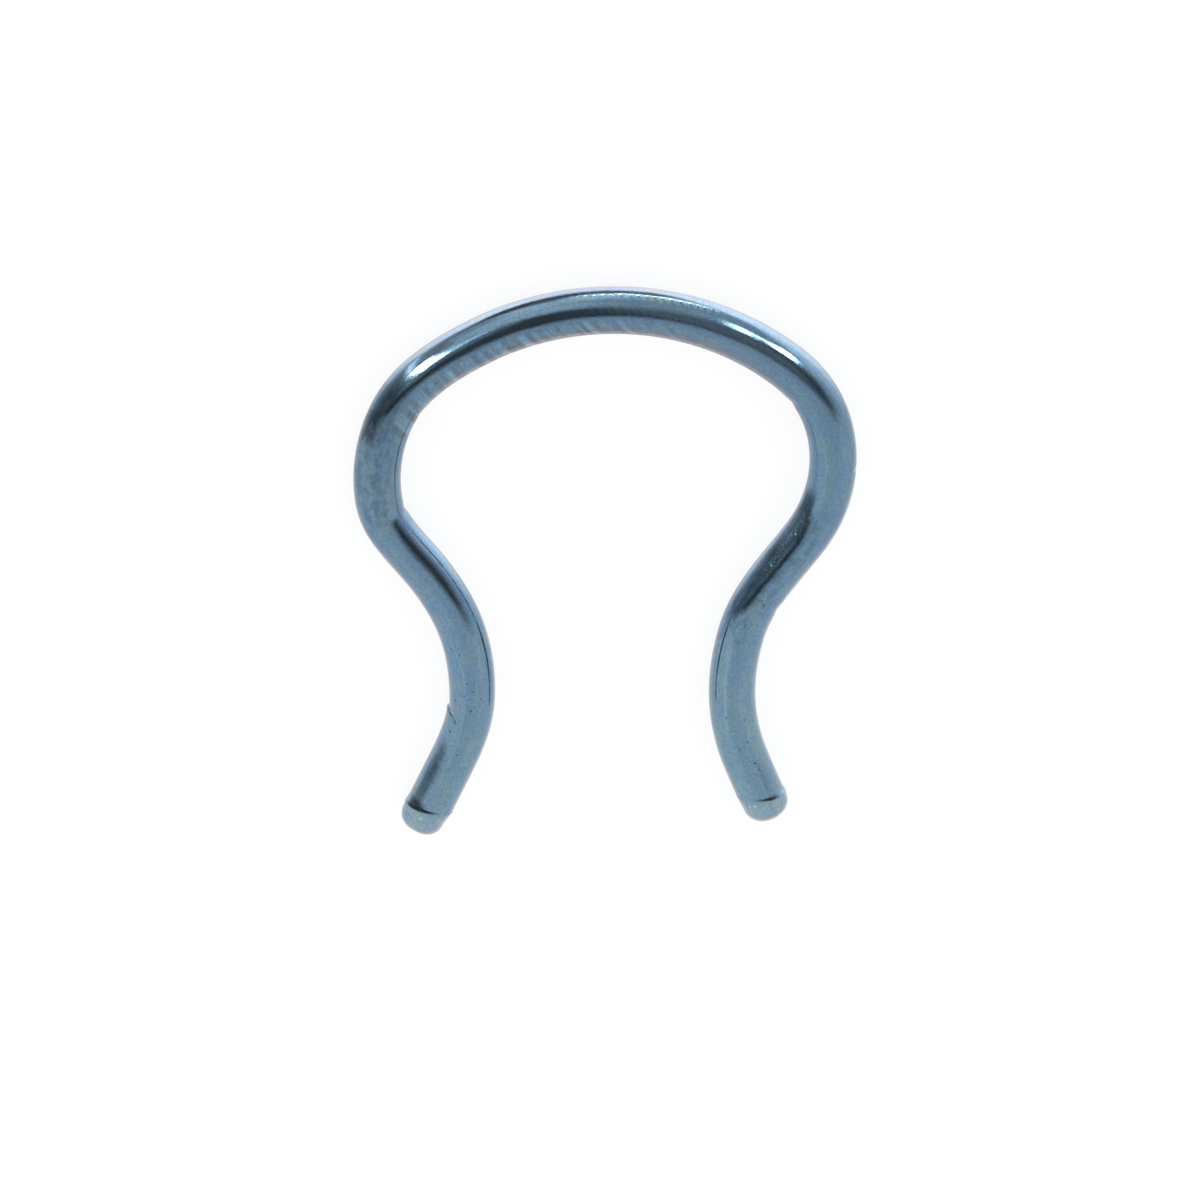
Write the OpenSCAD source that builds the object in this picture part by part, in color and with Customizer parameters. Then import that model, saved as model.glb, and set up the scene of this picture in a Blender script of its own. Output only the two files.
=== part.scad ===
// Septum retainer: one length of round wire, bent by hand into a crown with two splayed legs.
// It lies on its side: the wire rests on z = 0, the crown points to +y and the tips to -y.
// The table of bends is walked from the left tip, over the crown, to the right tip.

/* [Wire] */
// Diameter of the wire, 16 gauge
wire_d = 1.2; // [0.8:0.05:1.6]
// Rounding of the polished tips, as a share of the wire's radius
tip_share = 0.76; // [0.5:0.02:0.96]

/* [Left leg] */
// Heading of the left leg at its tip, in degrees from level
left_lean = 65.9; // [60:0.1:72]
// Straight end of the left leg, up to where its tip starts to round
left_tip_l = 1.75; // [1:0.05:3]
// Radius of the left leg's long bend, to the wire's middle
left_leg_r = 4.9; // [3:0.05:8]
// Turn of the left leg's long bend
left_leg_turn = 61.5; // [50:0.1:70]
// Straight stretch of the left neck
left_neck_l = 1.8; // [0.4:0.05:3]

/* [Left shoulder] */
// Radius of the tight bend just above the neck
left_low_r = 2; // [1.4:0.05:4]
// Turn of the tight bend just above the neck
left_low_turn = 29; // [20:0.1:40]
// Radius of the left flank
left_side_r = 4.3; // [2.5:0.05:6]
// Turn of the left flank
left_side_turn = 29.5; // [20:0.5:35]
// Radius of the bend from the flank into the crown
left_top_r = 3.1; // [2:0.05:5]
// Turn of the bend from the flank into the crown
left_top_turn = 28.3; // [25:0.1:40]

/* [Crown] */
// Radius of the broad arc over the top
crown_r = 7.3; // [6:0.05:10]
// Turn of the broad arc over the top
crown_turn = 80.9; // [65:0.1:85]

/* [Right shoulder] */
// Radius of the bend from the crown into the right flank
right_top_r = 3.15; // [2:0.05:5]
// Turn of the bend from the crown into the right flank
right_top_turn = 28.9; // [22:0.1:35]
// Radius of the right flank, down to the neck
right_side_r = 3.65; // [2.5:0.05:5]
// Turn of the right flank
right_side_turn = 57.3; // [50:0.1:65]

/* [Right leg] */
// Straight stretch of the right neck
right_neck_l = 1.15; // [0.4:0.05:3]
// Radius of the right leg's long bend, to the wire's middle
right_leg_r = 5.4; // [3:0.05:8]
// Turn of the right leg's long bend
right_leg_turn = 59.5; // [50:0.1:68]
// Straight end of the right leg, up to where its tip starts to round
right_tip_l = 1.3; // [1:0.05:3]

/* [Hidden] */
$fn = 96;
anodised_blue = [0.44, 0.53, 0.60];
wire_r = wire_d / 2;
tip_round = wire_r * tip_share;
tip_flat = wire_r - tip_round;

// The pieces are joined at a hundredth of full size. Their ends then meet more closely than the
// solid modeller's own tolerance, and the wire comes out as one smooth body without seams.
join_scale = 0.01;

// Columns: straight run, then the radius and the turn of the bend that follows it (left is positive)
bends = [
  [left_tip_l,   left_leg_r,   left_leg_turn],
  [left_neck_l,  left_low_r,   -left_low_turn],
  [0,            left_side_r,  -left_side_turn],
  [0,            left_top_r,   -left_top_turn],
  [0,            crown_r,      -crown_turn],
  [0,            right_top_r,  -right_top_turn],
  [0,            right_side_r, -right_side_turn],
  [right_neck_l, right_leg_r,  right_leg_turn]
];
last = len(bends) - 1;

// A place on the wire's middle line is [x, y, heading]
function ahead(p, l) = [p[0] + l * cos(p[2]), p[1] + l * sin(p[2]), p[2]];
function turned(p, a) = [p[0], p[1], p[2] + a];
function around(p, r, turn) =
  turned(ahead(turned(ahead(turned(p, sign(turn) * 90), r), turn - sign(turn) * 180), r), sign(turn) * 90);
function run_start(i) = i == 0 ? [0, 0, left_lean] : around(bend_start(i - 1), bends[i - 1][1], bends[i - 1][2]);
function bend_start(i) = ahead(run_start(i), bends[i][0]);
left_end = run_start(0);
right_end = ahead(run_start(last + 1), right_tip_l);

// The middle line reaches furthest where it runs level or upright inside a bend
far = [for (i = [0:last]) for (h = [-90, 0, 90])
  let (p = bend_start(i), a = h - p[2]) if (a * (a - bends[i][2]) <= 0 && a != 0) around(p, bends[i][1], a)];
function tip_low(p, lean) = p[1] - tip_round - tip_flat * cos(lean);
mid_x = (min([for (p = far) p[0]]) + max([for (p = far) p[0]])) / 2;
low_y = min(tip_low(left_end, left_lean), tip_low(right_end, right_end[2]));
mid_y = (low_y + max([for (p = far) p[1]]) + wire_r) / 2;

// Puts a piece that starts along +x at a place on the middle line
module at(p) translate([p[0], p[1], 0]) rotate([0, 0, p[2]]) children();

module run(l) rotate([0, 90, 0]) cylinder(r = wire_r, h = l);

module bend(r, turn) translate([0, sign(turn) * r, 0])
  rotate([0, 0, turn > 0 ? -90 : 90 + turn]) rotate_extrude(angle = abs(turn)) translate([r, 0]) circle(r = wire_r);

// A straight end of wire with its polished tip
module tip(l) rotate([0, 90, 0]) rotate_extrude() union() {
  square([wire_r, l]);
  translate([0, l]) square([tip_flat, tip_round]);
  translate([0, l]) intersection() {
    translate([tip_flat, 0]) circle(r = tip_round);
    square(wire_r);
  }
}

module retainer_wire() color(anodised_blue)
  translate([-mid_x, -mid_y, wire_r]) scale(1 / join_scale) union() {
    scale(join_scale) at(turned(bend_start(0), 180)) tip(left_tip_l);
    for (i = [0:last]) scale(join_scale) at(bend_start(i)) bend(bends[i][1], bends[i][2]);
    for (i = [1:last]) if (bends[i][0] > 0) scale(join_scale) at(run_start(i)) run(bends[i][0]);
    scale(join_scale) at(run_start(last + 1)) tip(right_tip_l);
  }

retainer_wire();
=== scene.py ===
import math
import bmesh
import bpy
from mathutils import Matrix, Vector, noise


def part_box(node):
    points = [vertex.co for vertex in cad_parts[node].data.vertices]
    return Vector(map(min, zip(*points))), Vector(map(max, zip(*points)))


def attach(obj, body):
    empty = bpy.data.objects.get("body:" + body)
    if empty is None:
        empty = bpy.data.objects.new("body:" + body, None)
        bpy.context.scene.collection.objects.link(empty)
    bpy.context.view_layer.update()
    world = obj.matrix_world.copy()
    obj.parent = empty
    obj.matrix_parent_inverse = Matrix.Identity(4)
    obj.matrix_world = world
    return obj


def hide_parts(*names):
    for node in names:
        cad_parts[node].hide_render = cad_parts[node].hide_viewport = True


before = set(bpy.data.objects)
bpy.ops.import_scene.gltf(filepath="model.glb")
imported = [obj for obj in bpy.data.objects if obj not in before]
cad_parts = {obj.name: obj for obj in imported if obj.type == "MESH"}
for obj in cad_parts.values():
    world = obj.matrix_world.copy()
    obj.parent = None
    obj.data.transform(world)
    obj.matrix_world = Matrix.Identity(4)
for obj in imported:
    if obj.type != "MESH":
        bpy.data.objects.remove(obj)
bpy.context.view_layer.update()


# The retainer is one length of round titanium wire. Its ends are domed while it is straight, then
# it is bent cold: out at the legs, in at the neck and over the crown. It is polished and anodised
# steel blue last, so the colour lies over every mark that the tools left.
mm = 0.001
wire_low, wire_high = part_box("retainer_wire")
wire_r = (wire_high.z - wire_low.z) / mm / 2

# The wire's sizes are in mm: the rounding of the tips as a share of its radius, the left leg's heading
# at its tip in degrees, how much thicker in radius the photograph shows the wire than the solid has
# it, and how far each bend runs into the next.
tip_share = 0.76
tip_round = tip_share * wire_r
left_lean = 65.9
over_gauge = 0.012
bend_ease = 0.35

# The mesh: points round the wire, the gap between its rings, the rings on each dome, and how far
# from each tip the gaps are cut finer.
wire_sides = 72
ring_gap = 0.036
dome_rings = 14
fine_reach = 0.6
fine_cuts = 3

# How high each dome rises in mm, and how blunt it is; below 1 it is squarer than a round one.
left_dome = (0.485, 0.84)
right_dome = (0.455, 0.97)

# Each stretch in turn from the left tip to the right one: its name, its length in mm where it is
# straight or the radius of its bend, and its turn in degrees, to the left above 0.
stretches = [
    ("left_tip", 1.75, 0),
    ("left_leg", 4.9, 61.5),
    ("left_neck", 1.8, 0),
    ("left_low_side", 2.0, -29.0),
    ("left_side", 4.3, -29.5),
    ("left_top", 3.1, -28.3),
    ("crown", 7.3, -80.9),
    ("right_top", 3.15, -28.9),
    ("right_side", 3.65, -57.3),
    ("right_neck", 1.15, 0),
    ("right_leg", 5.4, 59.5),
    ("right_tip", 1.3, 0),
]


def stretch_length(size, turn):
    return size * math.radians(abs(turn)) if turn else size


wire_length = sum(stretch_length(size, turn) for name, size, turn in stretches)
ring_count = round(wire_length / ring_gap)
wire = bmesh.new()
straight_wire = wire.verts.layers.float_vector.new("straight_wire")


def edges_of(geometry):
    return [part for part in geometry if isinstance(part, bmesh.types.BMEdge)]


def verts_of(geometry):
    return [part for part in geometry if isinstance(part, bmesh.types.BMVert)]


def dome_end(rim, outward, dome_rise, dome_blunt):
    """Closes an end of the straight wire with a polished dome whose middle is slightly flat."""
    tip_flat = wire_r - tip_round
    reach = 0
    spread = wire_r
    for number in range(1, dome_rings + 1):
        angle = math.pi / 2 * number / dome_rings
        grown = bmesh.ops.extrude_edge_only(wire, edges=rim)["geom"]
        fresh = verts_of(grown)
        rim = edges_of(grown)
        rise = dome_rise * math.sin(angle) ** dome_blunt - reach
        share = (tip_flat + tip_round * max(0, math.cos(angle)) ** dome_blunt) / spread
        bmesh.ops.scale(wire, verts=fresh, vec=(1, share, share))
        bmesh.ops.translate(wire, verts=fresh, vec=(outward * rise, 0, 0))
        reach += rise
        spread *= share
    bmesh.ops.contextual_create(wire, geom=rim)


# The wire is drawn along X. Its Y side becomes the ring's outside, and its Z side faces up.
first_ring = bmesh.ops.create_circle(wire, cap_ends=False, segments=wire_sides, radius=wire_r)["verts"]
across_x = Matrix.Rotation(math.radians(90), 3, "Y")
bmesh.ops.rotate(wire, verts=first_ring, cent=(0, 0, 0), matrix=across_x)
start_rim = list(wire.edges)
drawn = bmesh.ops.extrude_edge_only(wire, edges=start_rim)["geom"]
bmesh.ops.translate(wire, verts=verts_of(drawn), vec=(wire_length, 0, 0))
end_rim = edges_of(drawn)
lengthwise = [edge for edge in wire.edges if edge.calc_length() > wire_length / 2]
bmesh.ops.subdivide_edges(wire, edges=lengthwise, cuts=ring_count - 1)
near_tips = [
    edge for edge in wire.edges
    if abs(edge.verts[0].co.x - edge.verts[1].co.x) > ring_gap / 2
    and not fine_reach < min(vert.co.x for vert in edge.verts) < wire_length - fine_reach
]
bmesh.ops.subdivide_edges(wire, edges=near_tips, cuts=fine_cuts)
dome_end(start_rim, -1, *left_dome)
dome_end(end_rim, 1, *right_dome)
for vert in wire.verts:
    vert[straight_wire] = vert.co

# Each dome is ground behind a lip that leans along the wire. Columns: how far the lip lies from the
# dome, how much further on the ring's inside, and its height on the outside, on top and inside.
left_lip = (0.26, 0.137, 0.024, 0.01, 0.01)
right_lip = (0.29, 0.19, 0.022, 0.011, 0.004)

# The least length of a lip's face towards the leg, and how many times its own height that face is
# where that is more. The rounding of its crest, its slope down to the dome, and the height below
# which the slope eases. How soon it fades towards the floor, and how far from the tip it may reach.
lip_face = 0.05
lip_face_share = 5
lip_round = 0.03
lip_fall = math.tan(math.radians(11))
lip_full = 0.01
lip_fade = 1.4
lip_reach = 1.2

# Dents that the bending pins and the pliers left. Columns: how far along the wire, the side (0 is
# the ring's outside, 90 its top, 180 its inside), the depth, half the length and half the spread
# in degrees. Where the depth is below 0 the metal stands out. Each ends at dent_end half lengths.
dents = [
    (9.36, 180, 0.032, 0.2, 50),
    (12.74, 180, 0.016, 0.2, 46),
    (24.54, 180, 0.028, 0.2, 50),
    (31.08, 0, 0.03, 0.2, 50),
    (26.91, 20, 0.012, 0.05, 16),
    (2.98, 46, 0.012, 0.05, 9),
    (28.94, 133, -0.006, 0.05, 6),
    (30.04, 130, -0.005, 0.05, 5),
]
dent_end = 3

# Where the middle line strays to the ring's inside: the place, how far and half the length.
strays = [(3.1, 0.03, 0.9), (7.4, 0.03, 0.7), (31.7, 0.03, 0.8), (15.1, 0.012, 0.5)]

# The cut of a file: its place and depth, how soon it runs out up the leg, how far it slants for each
# degree round the wire, the sides between which it lies, their soft rim, and where it has run out.
nick_place = 3.17
nick_depth = 0.05
nick_run = 0.6
nick_slant = 0.003
nick_sides = (-80, 50)
nick_fade = 40
nick_end = 6

# Chatter of the bending tool: the gap between its rings, how far they lean for each degree round the
# wire, how much of a gap they stray, their height, where they start and end, and over what length they
# come and go there.
chatter_gap = 0.208
chatter_lean = 0.004
chatter_stray = 0.3
chatter_rise = 0.0006
chatter_span = (16.4, 21.4)
chatter_fades = (2, 1.5)

# How far the hand polish wanders in and out, and how closely, along the wire and round it.
polish_wander = 0.0012
polish_along = 1.9
polish_round = 1.2


def lip_height(distance, side, lip):
    """Swells to the lip, then falls off towards the dome; none where the wire lies on the floor."""
    place, lean, outer, top, inner = lip
    place -= lean * math.cos(side)
    outer_share = max(0, math.cos(side)) ** 2
    inner_share = max(0, -math.cos(side)) ** 2
    high = top + (outer - top) * outer_share + (inner - top) * inner_share
    high *= min(1, max(0, lip_fade + lip_fade * math.sin(side)))
    if distance > place:
        face = max(lip_face, lip_face_share * high)
        return high * math.exp(-(((distance - place) / face) ** 2))
    before = place - max(distance, 0)
    fallen = math.sqrt(before ** 2 + lip_round ** 2) - lip_round
    return high - min(fallen, place) * lip_fall * min(1, high / lip_full)


def dent_depth(along, side, dent):
    place, middle, depth, half_length, half_spread = dent
    away = (along - place) / half_length
    if abs(away) >= dent_end:
        return 0
    turned = (math.degrees(side) - middle + 180) % 360 - 180
    return depth * math.exp(-(away ** 2) - (turned / half_spread) ** 2)


def nick_cut(along, side):
    """A file cut on the left leg's outside: a sharp step below, running out upwards."""
    first_side, last_side = nick_sides
    turned = math.degrees(side)
    past = along - nick_place + nick_slant * max(0, turned)
    if past < 0 or not first_side < turned < last_side:
        return 0
    edge = min(1, (turned - first_side) / nick_fade, (last_side - turned) / nick_fade)
    return nick_depth * math.exp(-past / nick_run) * edge ** 2 * (3 - 2 * edge)


def chatter_height(along, side):
    """Low rings round the top of the crown, at gaps that are not quite even."""
    first, last = chatter_span
    comes, goes = chatter_fades
    fade = min(1, (along - first) / comes, (last - along) / goes)
    wander = chatter_stray * noise.noise(Vector((along * 0.8, math.cos(side), 7)))
    waves = (along - chatter_lean * math.degrees(side)) / chatter_gap + wander
    return chatter_rise * fade * max(0, math.sin(side)) * math.sin(2 * math.pi * waves)


def hand_marks(along, side):
    """How far the worked surface stands out from a true round, in mm."""
    outward = math.cos(side) * polish_round
    upward = math.sin(side) * polish_round
    out = over_gauge + polish_wander * noise.noise(Vector((along * polish_along, outward, upward)))
    if chatter_span[0] < along < chatter_span[1]:
        out += chatter_height(along, side)
    if along < lip_reach:
        out += lip_height(along, side, left_lip)
    if along > wire_length - lip_reach:
        out += lip_height(wire_length - along, side, right_lip)
    if along < nick_end:
        out -= nick_cut(along, side)
    for dent in dents:
        out -= dent_depth(along, side, dent)
    return out


for vert in wire.verts:
    side = math.atan2(vert.co.z, vert.co.y)
    grown = 1 + hand_marks(vert.co.x, side) / wire_r
    stray = sum(far * math.exp(-(((vert.co.x - place) / half) ** 2)) for place, far, half in strays)
    vert.co.y = vert.co.y * grown - stray
    vert.co.z *= grown


def heading_at(along):
    """The heading where the bends meet without easing, in degrees."""
    heading = left_lean
    for name, size, turn in stretches:
        length = stretch_length(size, turn)
        heading += turn * min(1, max(0, along / length))
        along -= length
    return heading


def eased_heading(along):
    """The wire springs a little, so each bend runs into the next."""
    return sum(heading_at(along + bend_ease * share) for share in (-1, -0.5, 0, 0.5, 1)) / 5


# The straight wire is bent: each ring in turn is carried to its place on the middle line.
carry = {}
place = Vector((0, 0, 0))
middle_line = []
ring_places = sorted({round(vert[straight_wire].x, 5) for vert in wire.verts})
last_along = ring_places[0]
for along in ring_places:
    halfway = math.radians(eased_heading((last_along + along) / 2))
    place = place + Vector((math.cos(halfway), math.sin(halfway), 0)) * (along - last_along)
    middle_line.append(place)
    carry[along] = (
        Matrix.Translation(place)
        @ Matrix.Rotation(math.radians(eased_heading(along)), 4, "Z")
        @ Matrix.Translation((-along, 0, 0))
    )
    last_along = along
for vert in wire.verts:
    vert.co = carry[round(vert[straight_wire].x, 5)] @ vert.co

bmesh.ops.recalc_face_normals(wire, faces=wire.faces)
middle_x = (min(spot.x for spot in middle_line) + max(spot.x for spot in middle_line)) / 2
crown_top = max(spot.y for spot in middle_line) + wire_r
to_place = (-middle_x, wire_high.y / mm - crown_top, wire_r + over_gauge)
bmesh.ops.translate(wire, verts=wire.verts, vec=to_place)
bmesh.ops.scale(wire, verts=wire.verts, vec=(mm, mm, mm))
for face in wire.faces:
    face.smooth = True

wire_mesh = bpy.data.meshes.new("anodised_retainer")
wire.to_mesh(wire_mesh)
wire.free()
retainer = bpy.data.objects.new("anodised_retainer", wire_mesh)
bpy.context.scene.collection.objects.link(retainer)


def work_out(tree, operation, *values):
    """One Math node on these sockets or numbers."""
    node = tree.nodes.new("ShaderNodeMath")
    node.operation = operation
    for number, value in enumerate(values):
        if isinstance(value, (int, float)):
            node.inputs[number].default_value = value
        else:
            tree.links.new(value, node.inputs[number])
    return node.outputs["Value"]


def edge_of(tree, value, inside, outside):
    """1 where the value is on the inside one's side, 0 past the outside one, smooth between."""
    node = tree.nodes.new("ShaderNodeMapRange")
    node.interpolation_type = "SMOOTHSTEP"
    node.inputs["From Min"].default_value = outside
    node.inputs["From Max"].default_value = inside
    tree.links.new(value, node.inputs["Value"])
    return node.outputs["Result"]


def window(tree, value, low, high, soft):
    """1 between low and high, and 0 outside them."""
    return work_out(
        tree,
        "MULTIPLY",
        edge_of(tree, value, low + soft / 2, low - soft / 2),
        edge_of(tree, value, high - soft / 2, high + soft / 2),
    )


def lay_over(tree, colour, cover, mask, way="MIX"):
    """The colour with another laid over it, or multiplied by it, as far as the mask says."""
    node = tree.nodes.new("ShaderNodeMix")
    node.data_type = "RGBA"
    node.blend_type = way
    if isinstance(mask, (int, float)):
        node.inputs["Factor"].default_value = mask
    else:
        tree.links.new(mask, node.inputs["Factor"])
    sockets = [socket for socket in node.inputs if socket.type == "RGBA"]
    for socket, value in zip(sockets, (colour, cover)):
        if isinstance(value, tuple):
            socket.default_value = (*value, 1)
        else:
            tree.links.new(value, socket)
    return next(socket for socket in node.outputs if socket.type == "RGBA")


def ramp(tree, value, stops):
    """A run of colours over a value: each stop is the value and a grey or a colour."""
    low, high = stops[0][0], stops[-1][0]
    share = tree.nodes.new("ShaderNodeMapRange")
    share.inputs["From Min"].default_value = low
    share.inputs["From Max"].default_value = high
    tree.links.new(value, share.inputs["Value"])
    node = tree.nodes.new("ShaderNodeValToRGB")
    elements = node.color_ramp.elements
    while len(elements) > 1:
        elements.remove(elements[-1])
    for number, (at, shade) in enumerate(stops):
        spot = (at - low) / (high - low)
        element = elements[0] if number == 0 else elements.new(spot)
        element.position = spot
        rgb = (shade,) * 3 if isinstance(shade, (int, float)) else shade
        element.color = (*rgb, 1)
    tree.links.new(share.outputs["Result"], node.inputs["Fac"])
    return node.outputs["Color"]


anodised = bpy.data.materials.new("steel_blue_anodised_titanium")
anodised.use_nodes = True
skin = anodised.node_tree
shader = skin.nodes["Principled BSDF"]
shader.inputs["Metallic"].default_value = 1
on_wire = skin.nodes.new("ShaderNodeAttribute")
on_wire.attribute_name = "straight_wire"
split = skin.nodes.new("ShaderNodeSeparateXYZ")
skin.links.new(on_wire.outputs["Vector"], split.inputs["Vector"])
along = split.outputs["X"]

# Sides count as in the tables above: 0 is the ring's outside, 90 the top and 180 the inside.
outwards = work_out(skin, "MULTIPLY", split.outputs["Y"], -1)
turn_over = work_out(skin, "ARCTAN2", outwards, split.outputs["Z"])
side = work_out(skin, "MULTIPLY_ADD", turn_over, 180 / math.pi, 90)


def grain(long, wide, detail, seed):
    """Noise whose grain has this length and width on the straight wire, in mm."""
    stretch = skin.nodes.new("ShaderNodeMapping")
    stretch.inputs["Location"].default_value = (seed, seed, seed)
    stretch.inputs["Scale"].default_value = (1 / long, 1 / wide, 1 / wide)
    skin.links.new(on_wire.outputs["Vector"], stretch.inputs["Vector"])
    texture = skin.nodes.new("ShaderNodeTexNoise")
    texture.inputs["Scale"].default_value = 1
    texture.inputs["Detail"].default_value = detail
    skin.links.new(stretch.outputs["Vector"], texture.inputs["Vector"])
    return texture.outputs["Fac"]


def grey_from(value, low, high):
    """A grey that runs from low to high as noise runs from 0.3 to 0.7."""
    return ramp(skin, value, [(0.3, low), (0.7, high)])


def patch(run, around):
    """1 on a patch of the wire: from, to and soft rim along it, then the same round it in degrees."""
    return work_out(skin, "MULTIPLY", window(skin, along, *run), window(skin, side, *around))


def line_mask(start, end, half_width):
    """A fine line on the wire from one place and side to another; its width in degrees."""
    slope = (end[1] - start[1]) / (end[0] - start[0])
    rise = start[1] - slope * start[0]
    off = work_out(skin, "SUBTRACT", side, work_out(skin, "MULTIPLY_ADD", along, slope, rise))
    near = edge_of(skin, work_out(skin, "ABSOLUTE", off), half_width * 0.3, half_width)
    low = min(start[0], end[0])
    high = max(start[0], end[0])
    return work_out(skin, "MULTIPLY", near, window(skin, along, low, high, (high - low) * 0.35))


def spot_mask(place, degrees, radius):
    """1 on a round spot with a soft rim."""
    away = skin.nodes.new("ShaderNodeVectorMath")
    away.operation = "DISTANCE"
    turned = math.radians(degrees)
    away.inputs[1].default_value = (place, wire_r * math.cos(turned), wire_r * math.sin(turned))
    skin.links.new(on_wire.outputs["Vector"], away.inputs[0])
    return edge_of(skin, away.outputs["Value"], radius * 0.35, radius)


def spots_mask(spots):
    """1 on any of these spots."""
    mask = 0.0
    for place, degrees, radius in spots:
        mask = work_out(skin, "MAXIMUM", mask, spot_mask(place, degrees, radius))
    return mask


def tinted(colour, tint, mask=1.0):
    """The colour multiplied by this tint as far as the mask says."""
    return lay_over(skin, colour, tint, mask, "MULTIPLY")


# The oxide's thickness wanders, so its blue turns teal or violet in patches.
teal_patches = edge_of(skin, grain(0.9, 0.5, 3, 3), 0.62, 0.44)
blue = lay_over(skin, (0.165, 0.284, 0.392), (0.184, 0.3, 0.374), teal_patches)
blue = lay_over(skin, blue, (0.157, 0.275, 0.4), edge_of(skin, grain(0.6, 0.25, 2, 11), 0.68, 0.48))
# Over the middle of the wire the colour is darker, a painted shade, and towards the polished tips it is
# paler and greener.
painted_shade_and_tip_tone = ramp(skin, along, [
    (-0.5, (1.5, 1.32, 1.2)),
    (0.1, (1.4, 1.25, 1.13)),
    (0.3, (1.14, 1.1, 1.05)),
    (2.0, (1.06, 1.05, 1.02)),
    (4.0, (0.98, 0.98, 1.0)),
    (9.0, (0.92, 0.92, 0.95)),
    (12.0, (0.84, 0.82, 0.83)),
    (18.0, (0.84, 0.83, 0.85)),
    (24.5, (0.84, 0.84, 0.87)),
    (27.0, (0.9, 0.93, 0.94)),
    (31.0, (0.98, 0.98, 1.0)),
    (34.0, (1.04, 1.03, 1.0)),
    (36.8, (1.12, 1.1, 1.03)),
    (37.0, (1.36, 1.23, 1.11)),
    (37.6, (1.46, 1.3, 1.18)),
])
blue = tinted(blue, painted_shade_and_tip_tone)

# Long fine streaks of the polish, and a grain as fine as the photograph shows.
blue = tinted(blue, grey_from(grain(1.8, 0.07, 2, 5), 0.95, 1.05))
blue = tinted(blue, grey_from(grain(0.075, 0.06, 2, 8), 0.87, 1.13))

# Low on the crown a file left slanting strokes, bluer on their ridges and duller between them. Their
# slant turns on this side of the wire, in degrees, and grows towards the right.
stroke_gap = 0.5
stroke_side = 125
slant = work_out(skin, "MULTIPLY_ADD", along, 0.0021, -0.0302)
crossing = work_out(skin, "MULTIPLY", work_out(skin, "ADD", side, -stroke_side), slant)
filed_at = work_out(skin, "DIVIDE", work_out(skin, "SUBTRACT", along, crossing), stroke_gap)
uneven = skin.nodes.new("ShaderNodeTexNoise")
uneven.noise_dimensions = "1D"
uneven.inputs["Scale"].default_value = 2.2
uneven.inputs["Detail"].default_value = 2
skin.links.new(filed_at, uneven.inputs["W"])
strokes = work_out(skin, "MULTIPLY_ADD", grain(1.3, 12, 1, 2), 1.5, filed_at)
strokes = work_out(skin, "SINE", work_out(skin, "MULTIPLY", strokes, 2 * math.pi))
strokes = work_out(skin, "MULTIPLY_ADD", strokes, 0.085, uneven.outputs["Fac"])
filed = work_out(skin, "MULTIPLY", edge_of(skin, along, 12.5, 11.1), edge_of(skin, along, 16.5, 22.5))
filed = work_out(skin, "MULTIPLY", filed, window(skin, side, 92, 182, 14))
filed = work_out(skin, "MULTIPLY", filed, edge_of(skin, grain(0.5, 0.2, 2, 21), 0.6, 0.25))
stroke_blue = ramp(skin, strokes, [
    (0.32, (0.79, 0.75, 0.75)),
    (0.46, (0.92, 0.88, 0.86)),
    (0.54, (1.04, 1.06, 1.06)),
    (0.68, (1.3, 1.4, 1.44)),
])
blue = tinted(blue, stroke_blue, filed)

# Tarnish lies in dark blotches on the left flank and the right neck.
blotches = edge_of(skin, grain(0.3, 0.2, 2, 27), 0.62, 0.42)
left_flank = patch((9.2, 13.0, 0.9), (-30, 120, 40))
right_neck = patch((28.2, 32.4, 1.0), (70, 165, 30))
on_flanks = work_out(skin, "MAXIMUM", left_flank, right_neck)
blue = tinted(blue, (0.78, 0.8, 0.77), work_out(skin, "MULTIPLY", blotches, on_flanks))
# The left shoulder is darkened, more so in an uneven blot on its outer top: painted dark reflection of
# the room.
shoulder_painted_dark = patch((11.4, 13.1, 0.8), (30, 84, 26))
blue = tinted(blue, (0.88, 0.84, 0.86), shoulder_painted_dark)
shoulder_painted_blot = patch((11.5, 12.15, 0.4), (16, 62, 26))
uneven_painted_blot = edge_of(skin, grain(0.25, 0.15, 2, 41), 0.45, 0.25)
blue = tinted(blue, (0.46, 0.43, 0.44), work_out(skin, "MULTIPLY", shoulder_painted_blot, uneven_painted_blot))

# Both necks are darkened on the inner side: painted dark reflection of the room. Columns: from, to and
# soft rim along the wire, the same round it in degrees, and the tint.
neck_painted_dark_reflections = [
    ((27.6, 28.35, 0.5), (126, 166, 12), (0.38, 0.4, 0.42)),
    ((28.3, 30.2, 0.8), (143, 172, 14), (0.62, 0.62, 0.64)),
    ((6.6, 9.1, 0.8), (108, 134, 12), (0.8, 0.7, 0.68)),
]
for run, around, dark_tint in neck_painted_dark_reflections:
    blue = tinted(blue, dark_tint, patch(run, around))

# Fine scratches. Columns: the two ends as place and side, half the width in degrees, and how light
# it is; above 1 it is a bright one.
scratches = [
    ((3.68, 148), (5.2, 136), 6, 0.8),
    ((31.88, 159), (34.19, 147), 5, 0.8),
    ((3.06, 34), (3.18, 2), 6, 0.6),
    ((2.9, 53), (3.08, 36), 6, 0.6),
    ((4.1, 71), (5.5, 55), 3, 1.14),
    ((32.3, 116), (34.6, 113), 5, 1.12),
]
for start, end, half_width, tone in scratches:
    blue = tinted(blue, (tone, tone * 1.04, tone * 1.1), line_mask(start, end, half_width))
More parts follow.
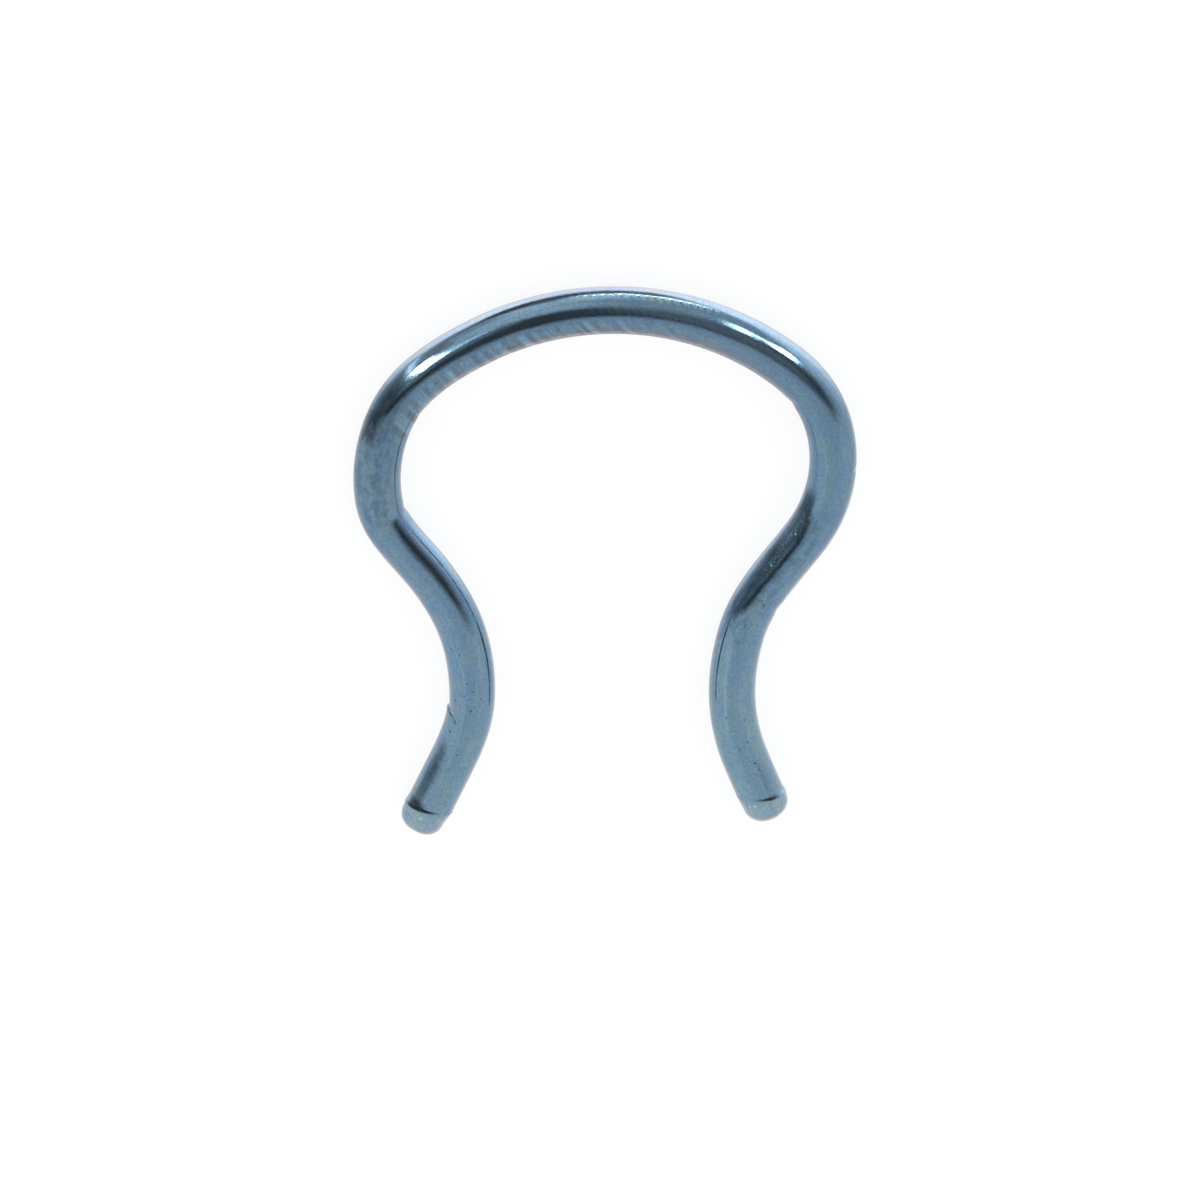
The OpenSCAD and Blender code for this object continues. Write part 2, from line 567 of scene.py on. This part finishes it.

# Pits that hold dirt, painted glints on the burnished caps, and two small spots on the right neck where
# the colour is scraped off. Columns: place, side and radius.
pits = [
    (2.63, 42, 0.05), (3.58, 42, 0.045), (3.39, 84, 0.055), (3.78, 67, 0.035), (3.51, 93, 0.03),
    (3.73, 108, 0.03), (5.24, 52, 0.045), (5.04, 69, 0.04), (4.17, 75, 0.04), (3.94, 87, 0.035),
    (2.08, 81, 0.03), (34.31, 112, 0.045), (34.44, 66, 0.04), (35.1, 70, 0.035), (35.24, 94, 0.035),
    (35.76, 70, 0.04), (35.98, 66, 0.03), (36.91, 68, 0.07), (36.93, 60, 0.06), (31.01, 84, 0.045),
    (30.91, 96, 0.03), (12.82, 134, 0.06),
]
painted_glints = [(0.01, 70, 0.07), (0.17, 117, 0.035), (36.95, 113, 0.075), (36.93, 128, 0.04)]
scrapes = [(28.95, 133, 0.05), (30.04, 130, 0.04)]
pitted = spots_mask(pits)
blue = tinted(blue, (0.62, 0.5, 0.45), pitted)
# Painted glints lighten the caps in small spots.
blue = tinted(blue, (1.5, 1.5, 1.35), spots_mask(painted_glints))
scraped = spots_mask(scrapes)
blue = lay_over(skin, blue, (0.28, 0.29, 0.28), scraped)

# The corner behind each lip is darkened on the outer side and the top: dirt with painted shade in the
# crease. Columns: the lip, the wire's end that it lies at, which way the leg runs from there, and the
# side where the darkening starts.
corners = [(left_lip, 0, 1, 14), (right_lip, wire_length, -1, 44)]
corner_start = 0.015
corner_width = 0.07
for lip, wire_end, leg_way, first_side in corners:
    lip_place, lean = lip[:2]
    turned = work_out(skin, "COSINE", work_out(skin, "RADIANS", side))
    leaning = work_out(skin, "MULTIPLY", turned, lean)
    darkening_start = -leg_way * wire_end - lip_place - corner_start
    up_leg = work_out(skin, "MULTIPLY_ADD", along, leg_way, darkening_start)
    corner_dirt_and_shade = window(skin, work_out(skin, "ADD", up_leg, leaning), 0, corner_width, 0.04)
    corner_dirt_and_shade = work_out(skin, "MULTIPLY", corner_dirt_and_shade, window(skin, side, first_side, 100, 36))
    blue = tinted(blue, (0.5, 0.46, 0.45), corner_dirt_and_shade)

# Behind the left lip, on the outer side, a wider patch is darkened: painted dark reflection.
blue = tinted(blue, (0.6, 0.56, 0.57), patch((0.16, 0.42, 0.12), (16, 66, 24)))

# A fine nick on the outer edge of the right flank catches the light: it is lightened as a painted
# highlight.
blue = tinted(blue, (1.6, 1.5, 1.4), patch((26.88, 26.94, 0.03), (-8, 34, 12)))
skin.links.new(blue, shader.inputs["Base Color"])


def duller(roughness, mask, by):
    """Adds this much to the roughness as far as the mask says."""
    return work_out(skin, "MULTIPLY_ADD", mask, by, roughness)


# The polish is duller in patches, inside the bends, on the specks of tarnish and on the ground caps.
best_polish = 0.075
roughness = duller(best_polish, edge_of(skin, grain(0.5, 0.12, 2, 14), 0.7, 0.35), 0.05)
roughness = duller(roughness, edge_of(skin, grain(0.08, 0.06, 1, 23), 0.62, 0.42), 0.03)
roughness = duller(roughness, patch((8.6, 29.5, 1), (136, 190, 16)), 0.22)
specks = edge_of(skin, grain(0.06, 0.05, 1, 31), 0.72, 0.64)
roughness = duller(roughness, work_out(skin, "MULTIPLY", specks, on_flanks), 0.04)
left_cap = edge_of(skin, along, 0.1, 0.3)
right_cap = edge_of(skin, along, wire_length - 0.1, wire_length - 0.3)
roughness = duller(roughness, work_out(skin, "MAXIMUM", left_cap, right_cap), 0.11)

# The chatter's troughs are duller too, and break the crown's highlight into beads.
leaned = work_out(skin, "MULTIPLY_ADD", side, -chatter_lean, along)
phase = work_out(skin, "DIVIDE", leaned, chatter_gap)
phase = work_out(skin, "MULTIPLY_ADD", grain(1.2, 0.8, 1, 2), 1.6, phase)
bands = work_out(skin, "SINE", work_out(skin, "MULTIPLY", phase, 2 * math.pi))
ringed = window(skin, along, 17.7, 21.4, 0.6)
ringed = work_out(skin, "MULTIPLY", ringed, edge_of(skin, bands, 0.1, 0.6))
roughness = duller(roughness, ringed, 0.03)
beads = work_out(skin, "MULTIPLY", ringed, window(skin, side, 24.5, 41, 3))
roughness = duller(roughness, beads, 0.17)
roughness = duller(roughness, pitted, 0.15)
roughness = duller(roughness, scraped, 0.3)
skin.links.new(roughness, shader.inputs["Roughness"])

# Light unevenness of the hand polish, and fine hatching by the left tip, too fine for the mesh.
hatch_gap = 0.1
relief_height = 0.0008 * mm
peel = work_out(skin, "MULTIPLY_ADD", grain(0.3, 0.1, 1, 17), 2.2, grain(0.09, 0.06, 1, 19))
peel = work_out(skin, "MULTIPLY_ADD", pitted, -2.5, peel)
hatching = work_out(skin, "MULTIPLY_ADD", side, 0.003, along)
hatching = work_out(skin, "MULTIPLY_ADD", grain(0.2, 0.2, 1, 33), 0.3, hatching)
hatching = work_out(skin, "SINE", work_out(skin, "MULTIPLY", hatching, 2 * math.pi / hatch_gap))
hatched = patch((0.35, 2.3, 0.6), (0, 62, 14))
peel = work_out(skin, "MULTIPLY_ADD", work_out(skin, "MULTIPLY", hatching, hatched), 0.1, peel)
relief = skin.nodes.new("ShaderNodeBump")
relief.inputs["Strength"].default_value = 1
relief.inputs["Distance"].default_value = relief_height
skin.links.new(peel, relief.inputs["Height"])
skin.links.new(relief.outputs["Normal"], shader.inputs["Normal"])
wire_mesh.materials.append(anodised)

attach(retainer, "root")
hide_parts("retainer_wire")


# The floor is a plain pale sheet of card, which the photograph shows almost white, so it glows a
# little by itself. Its rim sweeps up into a low wall, so no view looks past it. Sizes are in metres.
floor_reach = 0.45
floor_sides = 96
wall_rise = 0.35
floor_bm = bmesh.new()
bmesh.ops.create_circle(floor_bm, cap_ends=True, segments=floor_sides, radius=floor_reach)
floor_rim = [edge for edge in floor_bm.edges if len(edge.link_faces) == 1]
raised = verts_of(bmesh.ops.extrude_edge_only(floor_bm, edges=floor_rim)["geom"])
bmesh.ops.translate(floor_bm, verts=raised, vec=(0, 0, wall_rise))
floor_mesh = bpy.data.meshes.new("pale_floor")
floor_bm.to_mesh(floor_mesh)
floor_bm.free()
floor = bpy.data.objects.new("pale_floor", floor_mesh)
bpy.context.scene.collection.objects.link(floor)

# The metal mirrors the studio's own table in place of this sheet, which sheds no light and no shade.
floor.visible_glossy = False
floor.visible_diffuse = False
floor.visible_shadow = False

card = bpy.data.materials.new("pale_card")
card.use_nodes = True
card_shader = card.node_tree.nodes["Principled BSDF"]
card_shader.inputs["Base Color"].default_value = (0.2, 0.2, 0.2, 1)
card_shader.inputs["Roughness"].default_value = 1
card_shader.inputs["Specular IOR Level"].default_value = 0
card_shader.inputs["Emission Color"].default_value = (1, 1, 1, 1)
card_shader.inputs["Emission Strength"].default_value = 0.85
floor_mesh.materials.append(card)


# The light is a soft studio round the ring: a pale table under its tips, a bright wall behind,
# a dim room in front with long lamps in it, and a ceiling that hands some light back.
world = bpy.data.worlds.new("soft_studio")
bpy.context.scene.world = world
world.use_nodes = True
studio = world.node_tree
studio.nodes.clear()
world_out = studio.nodes.new("ShaderNodeOutputWorld")
background = studio.nodes.new("ShaderNodeBackground")
for_floor = studio.nodes.new("ShaderNodeBackground")
for_floor.inputs["Color"].default_value = (0.88, 0.88, 0.9, 1)
seen_in_metal = studio.nodes.new("ShaderNodeMixShader")
light_path = studio.nodes.new("ShaderNodeLightPath")
studio.links.new(light_path.outputs["Is Glossy Ray"], seen_in_metal.inputs["Fac"])
studio.links.new(for_floor.outputs["Background"], seen_in_metal.inputs[1])
studio.links.new(background.outputs["Background"], seen_in_metal.inputs[2])
studio.links.new(seen_in_metal.outputs["Shader"], world_out.inputs["Surface"])

# Light sampling would see only the floor's grey in place of the studio, so it is off.
world.cycles.sampling_method = "NONE"
ray = studio.nodes.new("ShaderNodeTexCoord").outputs["Generated"]


def dot(vector, constant):
    """How much of one vector lies along another."""
    node = studio.nodes.new("ShaderNodeVectorMath")
    node.operation = "DOT_PRODUCT"
    studio.links.new(vector, node.inputs[0])
    node.inputs[1].default_value = constant
    return node.outputs["Value"]


def direction(azimuth, elevation):
    """Azimuth 0 faces the ring's front and 90 its right; elevation rises towards its crown."""
    turn = math.radians(azimuth)
    rise = math.radians(elevation)
    return Vector((math.sin(turn) * math.cos(rise), math.sin(rise), math.cos(turn) * math.cos(rise)))


def angles_from(azimuth, elevation, tilt):
    """How far, in degrees, a ray lies to the right of this direction and above it."""
    ahead = direction(azimuth, elevation)
    turned = Matrix.Rotation(math.radians(tilt), 3, ahead)
    right = turned @ direction(azimuth + 90, 0)
    above = turned @ direction(azimuth, elevation + 90)
    across = work_out(studio, "ARCTAN2", dot(ray, right), dot(ray, ahead))
    up = work_out(studio, "ARCSINE", dot(ray, above))
    return (
        work_out(studio, "MULTIPLY", across, 180 / math.pi),
        work_out(studio, "MULTIPLY", up, 180 / math.pi),
    )


def with_panels(light, panels):
    """Lays soft-edged panels of light, or of dark, over what is there, one after the other."""
    for azimuth, elevation, wide, high, soft, tilt, shade in panels:
        across, up = angles_from(azimuth, elevation, tilt)
        mask = work_out(
            studio,
            "MULTIPLY",
            window(studio, across, -wide / 2, wide / 2, soft),
            window(studio, up, -high / 2, high / 2, soft),
        )
        light = lay_over(studio, light, shade, mask)
    return light


# The room brightens towards its ceiling, and panels hang in it. Columns, here and further down: the
# azimuth, elevation, width, height, soft rim and tilt in degrees, and the light that the panel gives.
azimuth, height = angles_from(0, 0, 0)
room = ramp(studio, height, [
    (-90, 0.16), (0, 0.18), (10, 0.22), (22, 0.36), (34, 0.55), (46, 0.8), (58, 0.88), (66, 0.78),
    (72, 0.95), (82, 1.35), (90, 1.85),
])
room = with_panels(room, [
    (-42, 56, 46, 24, 14, 0, (1.22, 1.22, 1.18)),
    (-88, 72, 40, 14, 8, 0, (1.5, 1.45, 1.4)),
    (-88, 47, 38, 9, 5, 0, (0.66, 0.52, 0.5)),
])

# The wall behind is brightest at the right and fades out at the left; its top edge is uneven.
wall = ramp(studio, azimuth, [
    (-180, (2.85, 2.3, 2.25)),
    (-155, (3.1, 2.6, 2.45)),
    (-141, (2.9, 2.4, 2.2)),
    (-128, (1.5, 1.3, 1.2)),
    (-112, (0.75, 0.62, 0.58)),
    (-95, 0.42),
    (-60, 0.15),
    (44, 0.2),
    (55, 0.42),
    (66, (0.95, 0.95, 1.0)),
    (76, (1.15, 1.12, 1.18)),
    (90, (1.6, 1.48, 1.55)),
    (105, (2.0, 1.82, 1.85)),
    (120, (2.7, 2.45, 2.3)),
    (135, (3.4, 2.95, 2.7)),
    (160, (3.2, 2.6, 2.5)),
    (180, (2.85, 2.3, 2.25)),
])
wall_fall = ramp(studio, height, [
    (-30, 0.5), (3, (0.59, 0.61, 0.66)), (13, (0.76, 0.78, 0.83)), (22, 0.97), (35, 1.1), (60, 1.0),
])
wall = lay_over(studio, wall, wall_fall, 1.0, "MULTIPLY")
wall_top = ramp(studio, azimuth, [
    (-180, 47), (-165, 47.5), (-153, 47.5), (-141, 46.5), (-128, 42), (-112, 36), (-95, 26),
    (-60, 18), (40, 24), (80, 36), (102, 43.5), (118, 48), (132, 50.5), (143, 50), (155, 47.5),
    (165, 47), (180, 47),
])
over_wall = work_out(studio, "SUBTRACT", height, wall_top)
room = lay_over(studio, room, wall, edge_of(studio, over_wall, -6, 6))

# Dark panels stand in front and hang high behind, with a narrow lamp high behind at the right.
room = with_panels(room, [
    (-6, 18.5, 20, 34, 12, 0, (0.15, 0.13, 0.13)),
    (22, 11, 28, 24, 14, 0, (0.38, 0.35, 0.35)),
    (-36, 17, 26, 15, 10, 0, (0.46, 0.46, 0.46)),
    (-61, 10, 22, 9, 6, 0, (0.3, 0.3, 0.3)),
    (-128, 62, 28, 10, 5, -70, (0.5, 0.38, 0.36)),
    (-166, 62, 42, 17, 6, -11, (0.32, 0.2, 0.2)),
    (163, 58, 20, 16, 6, 0, (0.62, 0.4, 0.38)),
    (138, 68.5, 32, 5.5, 3, 44, (11, 10.5, 9)),
])

# The table is brighter towards the right and warmer behind. Its far edge dips in front.
table = ramp(studio, azimuth, [
    (-180, (1.2, 1.06, 1.05)),
    (-150, (1.13, 0.99, 0.97)),
    (-90, (1.04, 1.0, 1.0)),
    (-40, 0.98),
    (30, 0.94),
    (60, (0.98, 0.95, 0.96)),
    (90, (1.06, 0.95, 0.92)),
    (122, (1.18, 1.08, 1.08)),
    (155, (1.28, 1.19, 1.22)),
    (180, (1.2, 1.06, 1.05)),
])
table = lay_over(studio, table, (1.2, 0.9, 0.8), edge_of(studio, height, -80, -54))
table = with_panels(table, [
    (168, -62, 56, 34, 20, 0, (1.5, 1.12, 1.0)),
    (0, -16, 56, 30, 22, 0, (0.86, 0.84, 0.86)),
])

# How far its edge lies below the level and how soft it is, in degrees.
table_drop = ramp(studio, azimuth, [
    (-180, 1), (-120, 0), (-105, 0), (-90, -2), (-70, -1), (-56, -1), (-45, 2), (-35, 3.5), (-25, 3.5),
    (-10, 7), (0, 8.5), (30, 8), (45, 8), (60, 4), (90, 0), (180, 1),
])
table_blur = ramp(studio, azimuth, [
    (-180, 4), (-115, 6), (-90, 6), (-70, 5), (-56, 4), (-45, 4), (-35, 5), (-25, 6), (-10, 9), (0, 10),
    (25, 10), (50, 6), (90, 5), (180, 4),
])
above_table = work_out(studio, "DIVIDE", work_out(studio, "ADD", height, table_drop), table_blur)
light = lay_over(studio, table, room, edge_of(studio, above_table, 1, -1))

# The long lamps in front: two faint ones and a strong one at the left, and a strong pair at the
# right with a short one that joins them.
light = with_panels(light, [
    (-98, 35.5, 33, 5, 3, 0, (3.2, 3.1, 3.0)),
    (-41, 37.5, 18, 7, 5, 0, (1.6, 1.9, 1.9)),
    (-52.8, 32.6, 33, 9.5, 3, -18, (13, 12.5, 11.5)),
    (48.8, 38.3, 20, 5.2, 3, 38, (9, 9.4, 8.8)),
    (60.8, 30.4, 20, 6, 3, 23, (12, 12, 11.5)),
    (55.5, 35, 7, 6, 3, 0, (8.4, 8.8, 8.4)),
])
studio.links.new(light, background.inputs["Color"])


# The camera stands where the photograph's did against the ring, far off, on the crown's side and
# about 24 degrees off square to it, with a long lens that fills the frame as the photograph does.
look_at = Vector((-0.0607, -1.1101, 0.6)) * mm
towards_camera = Vector((-0.087083, 0.406737, 0.909385)).normalized()
camera_distance = 280 * mm
camera_roll = math.radians(-1.34)
lens_for_frame = 324.8
sensor_for_frame = 36
camera_data = bpy.data.cameras.new("camera")
camera_data.lens = lens_for_frame
camera_data.sensor_width = sensor_for_frame
camera_data.clip_start = 20 * mm
camera_data.clip_end = 2000 * mm
camera = bpy.data.objects.new("camera", camera_data)
bpy.context.scene.collection.objects.link(camera)
flat_right = Vector((0, 1, 0)).cross(towards_camera).normalized()
flat_up = towards_camera.cross(flat_right)
right = math.cos(camera_roll) * flat_right - math.sin(camera_roll) * flat_up
up = math.sin(camera_roll) * flat_right + math.cos(camera_roll) * flat_up
camera.matrix_world = Matrix.Translation(look_at + towards_camera * camera_distance) @ Matrix(
    (right, up, towards_camera)
).transposed().to_4x4()
bpy.context.scene.camera = camera
bpy.context.scene.view_settings.view_transform = "Standard"
